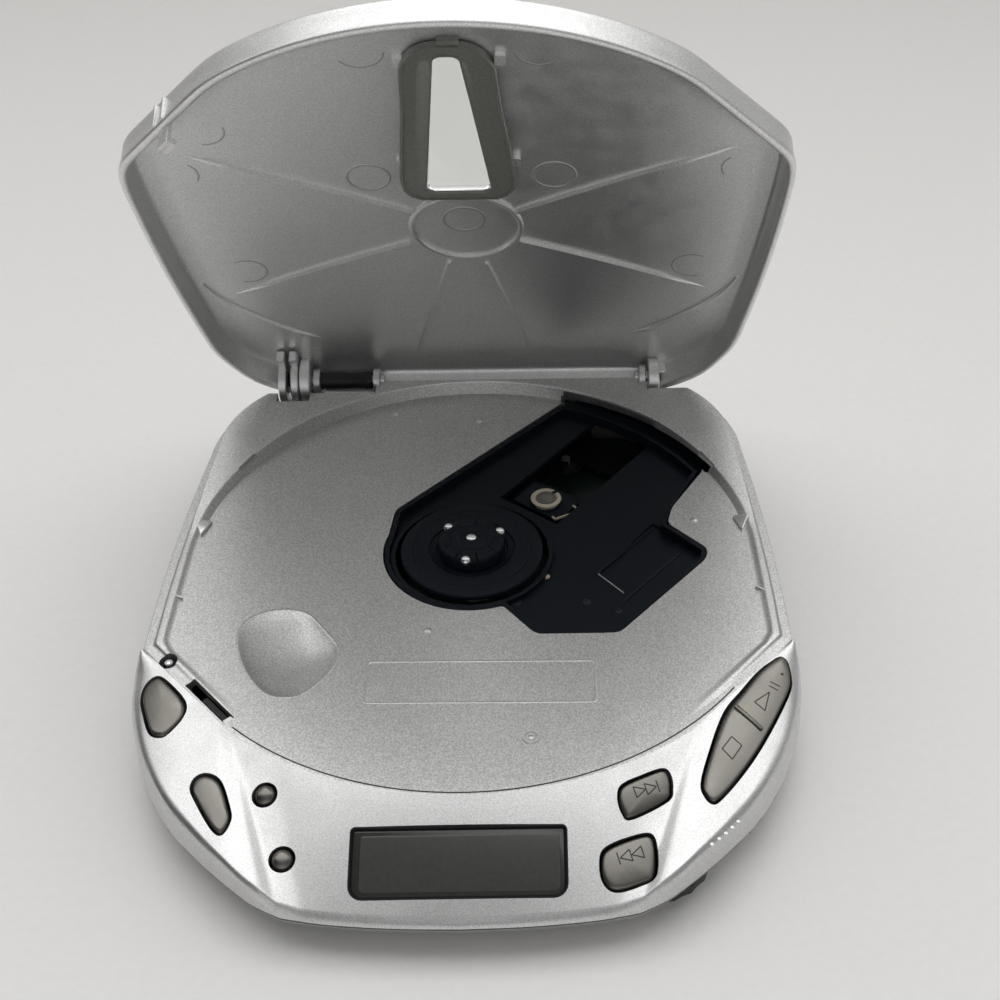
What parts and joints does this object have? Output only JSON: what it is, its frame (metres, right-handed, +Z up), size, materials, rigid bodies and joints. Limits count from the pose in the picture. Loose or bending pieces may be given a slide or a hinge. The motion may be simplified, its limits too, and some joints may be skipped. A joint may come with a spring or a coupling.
{
  "type": "portable CD player",
  "caption": "Portable CD player with its lid open, a disc bay with spindle and laser sled, curved front panel with keys, display, volume wheel and battery bay.",
  "frame": {"origin": "on the table under the middle of the open player's bounding box", "axes": "+X to the player's right, +Y to its back where the lid is hinged, +Z up"},
  "size_m": [0.1346, 0.1594, 0.1364],
  "materials": {
    "silver_plastic": "satin metallic paint on a moulded shell",
    "grey_plastic": "satin metallic paint, darker",
    "key_plastic": "warm grey metallic paint, satin",
    "black_plastic": "matte",
    "navy_plastic": "semi-gloss blue-black",
    "smoked_plastic": "smoked and translucent",
    "display_glass": "clear over a dark green-grey display",
    "display_body": "matte",
    "cream_plastic": "matte",
    "lens_glass": "coated",
    "steel": "plated",
    "circuit_board": "lacquered",
    "rubber": "matte"
  },
  "bodies": {
    "case": {"lower_case": "grey_plastic", "bay_deck": "silver_plastic", "front_panel": "silver_plastic", "display_window": "display_glass", "display_module": "display_body", "hinge_pin_left": "steel", "hinge_pin_right": "steel", "lid_spring": "steel", "switch_sleeve": "black_plastic", "mechanism_cover": "navy_plastic", "mechanism_chassis": "steel", "damper_1": "rubber", "damper_2": "rubber", "damper_3": "rubber", "guide_rod_left": "steel", "guide_rod_right": "steel", "spindle_motor": "steel", "feed_motor": "steel", "main_board": "circuit_board", "battery_link": "steel", "battery_contact_left": "steel", "battery_contact_right": "steel", "phones_socket": "black_plastic", "line_socket": "black_plastic", "power_socket": "black_plastic", "foot_front_left": "rubber", "foot_front_right": "rubber", "foot_back_left": "rubber", "foot_back_right": "rubber", "case_screw_1": "steel", "case_screw_2": "steel", "case_screw_3": "steel", "case_screw_4": "steel"},
    "lid": {"lid_shell": "silver_plastic", "lid_window": "smoked_plastic"},
    "open_key": {"open_button": "key_plastic"},
    "latch": {"latch_slider": "black_plastic"},
    "buffer_key": {"buffer_button": "key_plastic"},
    "play_key": {"play_stop_key": "key_plastic"},
    "skip_forward_key": {"skip_forward_button": "key_plastic"},
    "skip_back_key": {"skip_back_button": "key_plastic"},
    "mode_key": {"mode_button": "key_plastic"},
    "repeat_key": {"repeat_button": "key_plastic"},
    "lid_switch": {"lid_switch_plunger": "grey_plastic"},
    "spindle": {"turntable": "black_plastic", "spindle_hub": "navy_plastic"},
    "sled": {"pickup_sled": "navy_plastic"},
    "lens": {"lens_holder": "cream_plastic", "objective_lens": "lens_glass"},
    "lead_screw": {"feed_screw": "steel"},
    "cell_door": {"battery_door": "grey_plastic"},
    "wheel": {"volume_wheel": "black_plastic"},
    "hold_switch": {"slide_switch": "black_plastic"}
  },
  "joints": [
    {"name": "lid_hinge", "type": "hinge", "parent": "case", "child": "lid", "pos_m": [0, 0.0737, 0.02], "axis": [1, 0, 0], "range_deg": [0, 61]},
    {"name": "open_press", "type": "slide", "parent": "case", "child": "open_key", "axis": [0.1204, 0.1186, -0.9856], "range_m": [0, 0.0006], "stiffness_N_per_m": 200},
    {"name": "latch_slide", "type": "slide", "parent": "case", "child": "latch", "axis": [0.6796, -0.7335, 0], "range_m": [0, 0.0012]},
    {"name": "buffer_press", "type": "slide", "parent": "case", "child": "buffer_key", "axis": [0.0654, 0.1539, -0.9859], "range_m": [0, 0.0006], "stiffness_N_per_m": 200},
    {"name": "play_rock", "type": "hinge", "parent": "case", "child": "play_key", "pos_m": [0.05381, -0.04183, 0.01442], "axis": [0.6561, -0.7364, -0.1647], "range_deg": [-1.2, 1.2], "stiffness_Nm_per_rad": 0.05},
    {"name": "skip_forward_press", "type": "slide", "parent": "case", "child": "skip_forward_key", "axis": [-0.1455, 0.3376, -0.93], "range_m": [0, 0.0006], "stiffness_N_per_m": 200},
    {"name": "skip_back_press", "type": "slide", "parent": "case", "child": "skip_back_key", "axis": [-0.0306, 0.3132, -0.9492], "range_m": [0, 0.0006], "stiffness_N_per_m": 200},
    {"name": "mode_press", "type": "slide", "parent": "case", "child": "mode_key", "axis": [0.132, 0.3134, -0.9404], "range_m": [0, 0.0006], "stiffness_N_per_m": 200},
    {"name": "repeat_press", "type": "slide", "parent": "case", "child": "repeat_key", "axis": [-0.0067, 0.2781, -0.9605], "range_m": [0, 0.0006], "stiffness_N_per_m": 200},
    {"name": "lid_switch_press", "type": "slide", "parent": "case", "child": "lid_switch", "axis": [0, 0, -1], "range_m": [0, 0.0008], "stiffness_N_per_m": 100},
    {"name": "spindle_turn", "type": "hinge", "parent": "case", "child": "spindle", "pos_m": [0, 0.0102, 0], "axis": [0, 0, 1], "continuous": true},
    {"name": "sled_travel", "type": "slide", "parent": "case", "child": "sled", "axis": [0.6157, 0.788, 0], "range_m": [0, 0.022]},
    {"name": "screw_turn", "type": "hinge", "parent": "case", "child": "lead_screw", "pos_m": [0.01671, -0.00285, 0.01], "axis": [0.6157, 0.788, 0], "range_deg": [0, 1990]},
    {"name": "lens_focus", "type": "slide", "parent": "sled", "child": "lens", "axis": [0, 0, 1], "range_m": [-0.0001, 0.0003], "stiffness_N_per_m": 60},
    {"name": "cell_door_hinge", "type": "hinge", "parent": "case", "child": "cell_door", "pos_m": [-0.0385, 0.0527, 0.0019], "axis": [1, 0, 0], "range_deg": [0, 95]},
    {"name": "volume_turn", "type": "hinge", "parent": "case", "child": "wheel", "pos_m": [0.03434, -0.06058, 0], "axis": [0, 0, 1], "range_deg": [0, 270]},
    {"name": "hold_slide", "type": "slide", "parent": "case", "child": "hold_switch", "axis": [0.5836, 0.812, 0], "range_m": [0, 0.002]}
  ],
  "couplings": [
    {"joint": "latch_slide", "follows": "open_press", "ratio": 2},
    {"joint": "screw_turn", "follows": "sled_travel", "rad_per_m": 1570.8}
  ]
}
